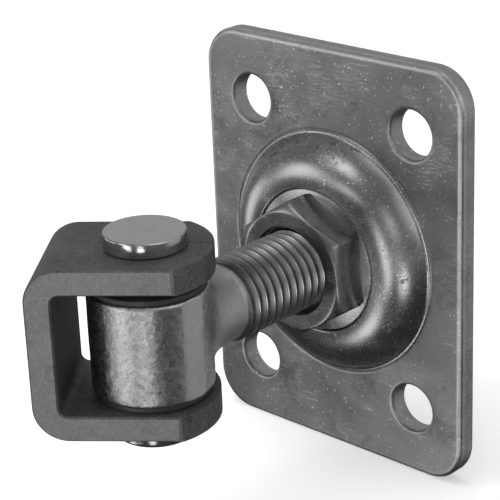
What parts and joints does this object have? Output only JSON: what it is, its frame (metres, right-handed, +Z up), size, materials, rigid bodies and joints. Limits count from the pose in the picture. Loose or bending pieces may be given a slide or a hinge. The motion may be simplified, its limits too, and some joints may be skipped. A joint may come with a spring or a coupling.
{
  "type": "adjustable gate hinge",
  "caption": "Adjustable gate hinge: pressed wall plate, captive nut, threaded eye and a U bracket on a pin.",
  "frame": {"origin": "centre of the plate's back face, which is the centre of its four fixing holes", "axes": "+Z up along the hinge pin, -Y out of the plate along the threaded stem, +X to the right seen from the front"},
  "size_m": [0.08, 0.0936, 0.104],
  "materials": {
    "zinc_plate": "satin zinc plating",
    "zinc_nut": "bright zinc plating",
    "zinc_forging": "zinc plating on a forged skin",
    "black_bush": "matt",
    "raw_steel": "raw rolled steel",
    "zinc_pin": "turned and plated"
  },
  "bodies": {
    "plate": {"backplate": "zinc_plate"},
    "nuts": {"adjusting_nut": "zinc_nut", "retaining_collar": "zinc_nut", "lock_nut": "zinc_nut"},
    "stem": {"eye_stem": "zinc_forging", "upper_bush": "black_bush", "lower_bush": "black_bush"},
    "bracket": {"clevis": "raw_steel", "hinge_pin": "zinc_pin"}
  },
  "joints": [
    {"name": "nut_turn", "type": "hinge", "parent": "plate", "child": "nuts", "pos_m": [0, 0, 0], "axis": [0, 1, 0], "range_deg": [-1728.5, 864.5]},
    {"name": "stem_slide", "type": "slide", "parent": "plate", "child": "stem", "axis": [0, -1, 0], "range_m": [-0.012, 0.006]},
    {"name": "bracket_swing", "type": "hinge", "parent": "stem", "child": "bracket", "pos_m": [0, -0.0665, 0], "axis": [0, 0, 1], "range_deg": [-58.2, 161.8]}
  ],
  "couplings": [
    {"joint": "nut_turn", "follows": "stem_slide", "rad_per_m": 2513.3}
  ]
}
